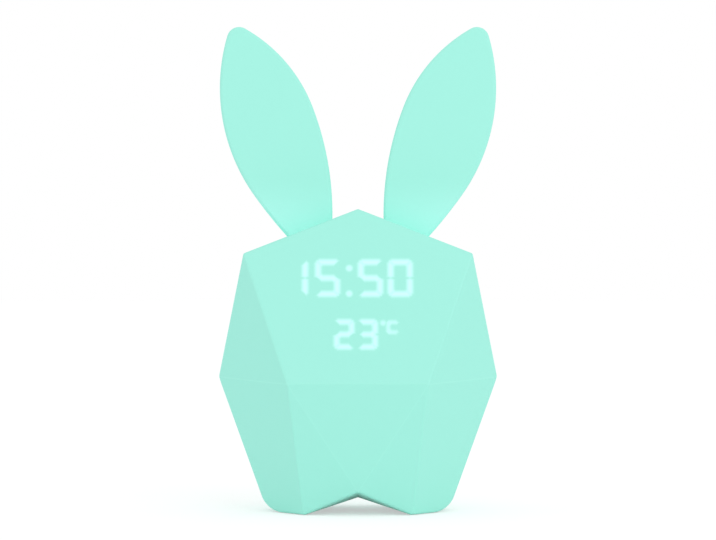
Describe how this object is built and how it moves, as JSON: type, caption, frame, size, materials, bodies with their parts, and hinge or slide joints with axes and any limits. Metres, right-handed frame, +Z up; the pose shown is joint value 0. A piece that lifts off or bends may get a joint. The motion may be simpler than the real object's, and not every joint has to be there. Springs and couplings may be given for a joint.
{
  "type": "kids alarm clock with night light",
  "caption": "Faceted rabbit-shaped bedside clock with two tall soft ears, digits that glow through its shell, an inner night light, and rear keys, slide switch and inlet.",
  "frame": {"origin": "middle of the foot pads on the surface that the clock stands on", "axes": "+Z up through the ears, -Y out of the front panel with the digits, +X to the right seen from the front"},
  "size_m": [0.1154, 0.072, 0.201],
  "materials": {
    "mint_shell": "fine matt moulded, milky so that light shows through",
    "soft_mint": "soft matt silicone",
    "pad_rubber": "matt",
    "white_plastic": "matt",
    "key_white": "satin",
    "milky_film": "matt, milky",
    "black_plastic": "matt",
    "switch_pin": "matt",
    "board": "white solder mask",
    "board_green": "green solder mask",
    "led": "clear resin",
    "connector": "natural nylon",
    "sensor": "epoxy bead",
    "steel": "plated",
    "magnet": "ferrite",
    "paper": "coated paper",
    "foam": "closed-cell foam",
    "cell": "foil pouch",
    "lead_skin": "soft insulation"
  },
  "bodies": {
    "clock": {"front_shell": "mint_shell", "rear_shell": "mint_shell", "left_ear": "soft_mint", "right_ear": "soft_mint", "left_foot_pad": "pad_rubber", "right_foot_pad": "pad_rubber", "inner_frame": "white_plastic", "speaker_clamp": "white_plastic", "display_film": "milky_film", "light_dome": "milky_film", "display_mask": "black_plastic", "push_switches": "black_plastic", "alarm_switch": "black_plastic", "main_chips": "black_plastic", "usb_tongue": "black_plastic", "display_board": "board", "light_board": "board", "main_board": "board_green", "power_board": "board_green", "display_leds": "led", "light_leds": "led", "board_connectors": "connector", "power_parts": "connector", "temperature_sensor": "sensor", "display_screws": "steel", "main_board_screws": "steel", "frame_screws": "steel", "case_screws": "steel", "speaker_screws": "steel", "usb_housing": "steel", "speaker_basket": "steel", "speaker_magnet": "magnet", "speaker_cone": "paper", "speaker_gasket": "foam", "cell_tape": "foam", "battery_cell": "cell", "display_lead": "lead_skin", "power_lead": "lead_skin", "battery_lead": "lead_skin", "light_lead": "lead_skin", "speaker_lead": "lead_skin"},
    "set_key": {"set_button": "key_white", "set_plunger": "switch_pin"},
    "down_key": {"down_button": "key_white", "down_plunger": "switch_pin"},
    "up_key": {"up_button": "key_white", "up_plunger": "switch_pin"},
    "light_key": {"light_button": "key_white", "light_plunger": "switch_pin"},
    "alarm_slide": {"alarm_knob": "key_white", "alarm_lever": "switch_pin"}
  },
  "joints": [
    {"name": "set_press", "type": "slide", "parent": "clock", "child": "set_key", "axis": [0, -0.9593, -0.2823], "range_m": [0, 0.0005], "stiffness_N_per_m": 1500},
    {"name": "down_press", "type": "slide", "parent": "clock", "child": "down_key", "axis": [0, -0.9593, -0.2823], "range_m": [0, 0.0005], "stiffness_N_per_m": 1500},
    {"name": "up_press", "type": "slide", "parent": "clock", "child": "up_key", "axis": [0, -0.9593, -0.2823], "range_m": [0, 0.0005], "stiffness_N_per_m": 1500},
    {"name": "light_press", "type": "slide", "parent": "clock", "child": "light_key", "axis": [0, -0.9593, -0.2823], "range_m": [0, 0.0005], "stiffness_N_per_m": 1500},
    {"name": "alarm_slide_shift", "type": "slide", "parent": "clock", "child": "alarm_slide", "axis": [1, 0, 0], "range_m": [0, 0.002]}
  ]
}
